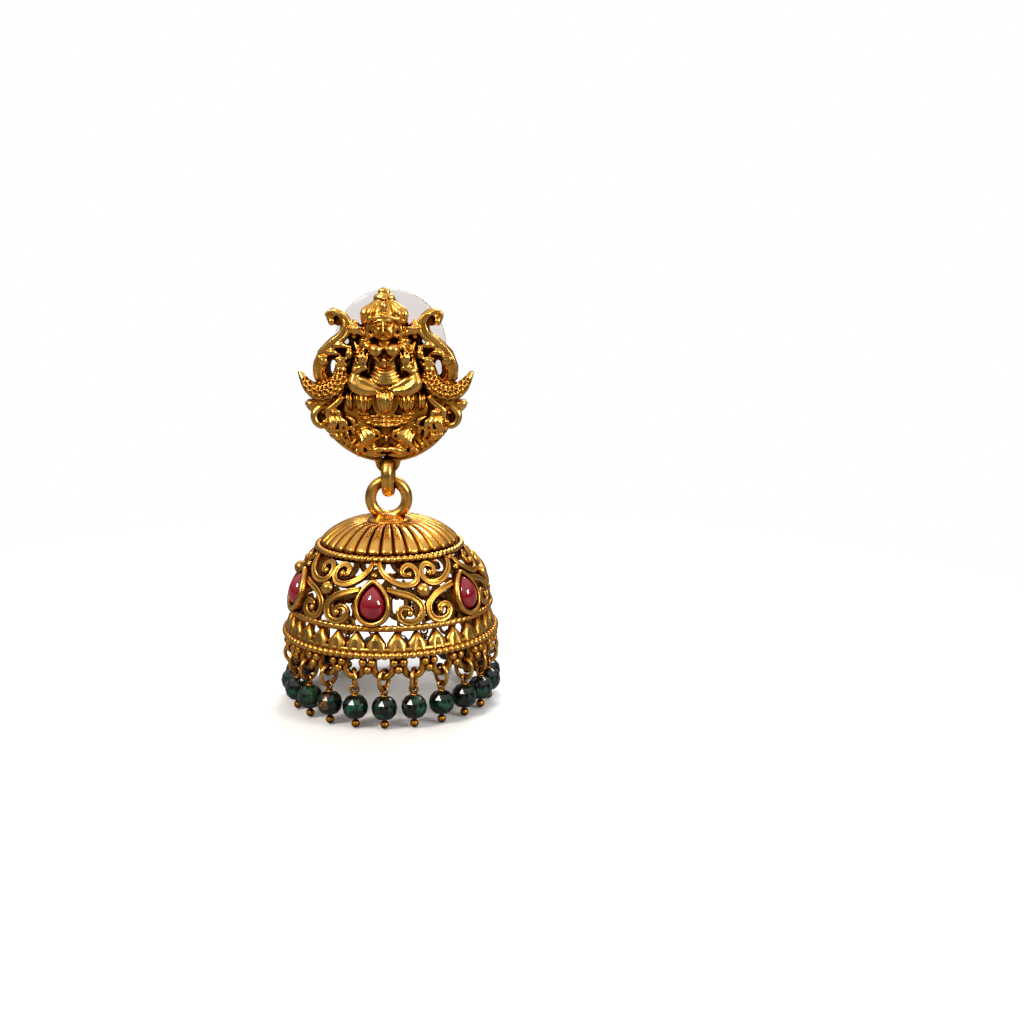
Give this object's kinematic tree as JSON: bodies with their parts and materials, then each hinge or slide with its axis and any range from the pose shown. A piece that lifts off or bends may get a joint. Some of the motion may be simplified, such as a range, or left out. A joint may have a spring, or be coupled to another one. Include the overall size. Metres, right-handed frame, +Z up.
{
  "type": "jhumka drop earring",
  "caption": "Bell-shaped drop earring: cast gold-tone stud with a seated figure, oval link, pierced stone-set bell and a fringe of green beads.",
  "frame": {"origin": "axis of the ear post, at the flat back face of the stud's plate", "axes": "+Z up along the hanging length, +Y back along the post through the ear, +X to the right as seen from the front"},
  "size_m": [0.0268, 0.027, 0.0498],
  "materials": {
    "antique_gold": "antique gold plate over cast brass, dark in the recesses",
    "ruby_glass": "polished ruby-red glass cabochon",
    "green_stone": "faceted dark green stone bead",
    "clear_plastic": "clear flexible plastic"
  },
  "bodies": {
    "stud": {"stud": "antique_gold", "clutch_disc": "clear_plastic"},
    "link": {"link": "antique_gold"},
    "bell": {"bell": "antique_gold", "stone_01": "ruby_glass", "stone_02": "ruby_glass", "stone_03": "ruby_glass", "stone_04": "ruby_glass", "stone_05": "ruby_glass", "stone_06": "ruby_glass", "drop_wire_01": "antique_gold", "drop_wire_02": "antique_gold", "drop_wire_03": "antique_gold", "drop_wire_04": "antique_gold", "drop_wire_05": "antique_gold", "drop_wire_06": "antique_gold", "drop_wire_07": "antique_gold", "drop_wire_08": "antique_gold", "drop_wire_09": "antique_gold", "drop_wire_10": "antique_gold", "drop_wire_11": "antique_gold", "drop_wire_12": "antique_gold", "drop_wire_13": "antique_gold", "drop_wire_14": "antique_gold", "drop_wire_15": "antique_gold", "drop_wire_16": "antique_gold", "drop_wire_17": "antique_gold", "drop_wire_18": "antique_gold", "drop_wire_19": "antique_gold", "drop_wire_20": "antique_gold", "drop_wire_21": "antique_gold", "drop_wire_22": "antique_gold", "bead_01": "green_stone", "bead_02": "green_stone", "bead_03": "green_stone", "bead_04": "green_stone", "bead_05": "green_stone", "bead_06": "green_stone", "bead_07": "green_stone", "bead_08": "green_stone", "bead_09": "green_stone", "bead_10": "green_stone", "bead_11": "green_stone", "bead_12": "green_stone", "bead_13": "green_stone", "bead_14": "green_stone", "bead_15": "green_stone", "bead_16": "green_stone", "bead_17": "green_stone", "bead_18": "green_stone", "bead_19": "green_stone", "bead_20": "green_stone", "bead_21": "green_stone", "bead_22": "green_stone"}
  },
  "joints": [
    {"name": "link_swing", "type": "hinge", "parent": "stud", "child": "link", "pos_m": [0, -0.0006, -0.01325], "axis": [0, 1, 0], "range_deg": [-45, 45]},
    {"name": "bell_swing", "type": "hinge", "parent": "link", "child": "bell", "pos_m": [0, -0.0006, -0.01562], "axis": [1, 0, 0], "range_deg": [-45, 45]}
  ]
}
